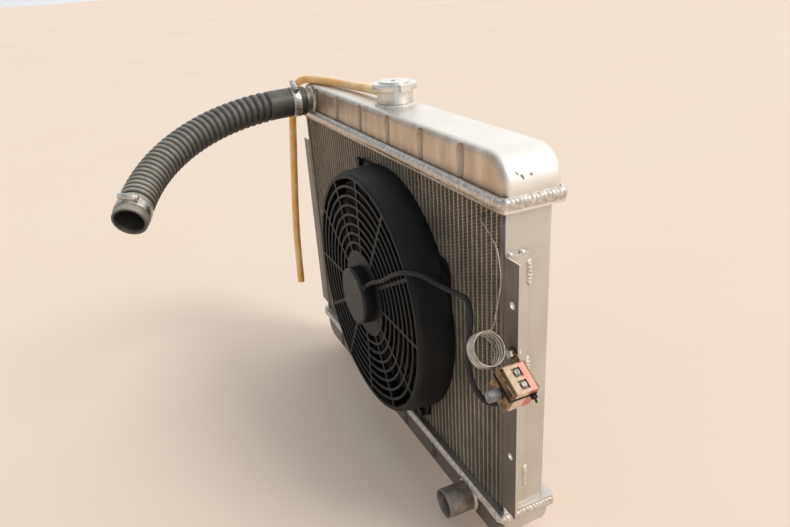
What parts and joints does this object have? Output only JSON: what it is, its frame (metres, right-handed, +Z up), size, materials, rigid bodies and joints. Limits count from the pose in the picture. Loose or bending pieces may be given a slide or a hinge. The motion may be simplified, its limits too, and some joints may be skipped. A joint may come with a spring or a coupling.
{
  "type": "engine radiator with electric fan",
  "caption": "Aluminium down-flow engine radiator with welded tanks, an electric fan in its shroud, a fan thermostat switch and a ribbed top hose; cools an off-road vehicle's engine.",
  "frame": {"origin": "middle of the four frame bolt holes, on the engine-side faces of the two mounting angles", "axes": "+X to the vehicle's right along the core's width, +Y to the front, away from the engine and the fan, +Z up"},
  "size_m": [0.7059, 0.4147, 0.5433],
  "materials": {
    "core_aluminium": "brazed, dull",
    "welded_aluminium": "satin sheet with bright welds",
    "stainless_cap": "pressed, satin",
    "brass": "dull",
    "black_moulding": "moulded, fine grain",
    "black_motor": "satin black",
    "black_hose_rubber": "ribbed, dusty",
    "clamp_steel": "stainless band",
    "amber_tubing": "soft translucent tubing",
    "zinc_plated_steel": "yellow passivated zinc",
    "tan_phenolic": "moulded resin",
    "grey_plastic": "moulded",
    "bare_steel_capillary": "bright drawn tube",
    "black_sleeve": "woven sleeve over two wires"
  },
  "bodies": {
    "radiator": {"bottom_header": "welded_aluminium", "bottom_tank": "welded_aluminium", "capillary_coil": "bare_steel_capillary", "capillary_tube": "bare_steel_capillary", "core_fins": "core_aluminium", "core_tubes": "core_aluminium", "drain_cock": "brass", "fan_guard": "black_moulding", "fan_lead": "black_sleeve", "fan_motor": "black_motor", "fan_shroud": "black_moulding", "fan_ties": "black_moulding", "filler_neck": "welded_aluminium", "hose_clamp_engine": "clamp_steel", "hose_clamp_inlet": "clamp_steel", "inlet_neck": "welded_aluminium", "mounting_angle_left": "welded_aluminium", "mounting_angle_right": "welded_aluminium", "outlet_neck": "welded_aluminium", "overflow_hose": "amber_tubing", "side_channel_left": "welded_aluminium", "side_channel_right": "welded_aluminium", "switch_body": "tan_phenolic", "switch_bolt": "clamp_steel", "switch_bracket": "zinc_plated_steel", "switch_knob": "grey_plastic", "switch_tie": "black_moulding", "top_header": "welded_aluminium", "top_hose": "black_hose_rubber", "top_tank": "welded_aluminium"},
    "fan": {"fan_rotor": "black_moulding"},
    "cap": {"radiator_cap": "stainless_cap", "cap_valve": "brass"}
  },
  "joints": [
    {"name": "fan_spin", "type": "hinge", "parent": "radiator", "child": "fan", "pos_m": [0.0235, 0, -0.0065], "axis": [0, -1, 0], "continuous": true},
    {"name": "cap_turn", "type": "hinge", "parent": "radiator", "child": "cap", "pos_m": [0, 0.033, 0.272], "axis": [0, 0, 1], "range_deg": [0, 90]}
  ]
}
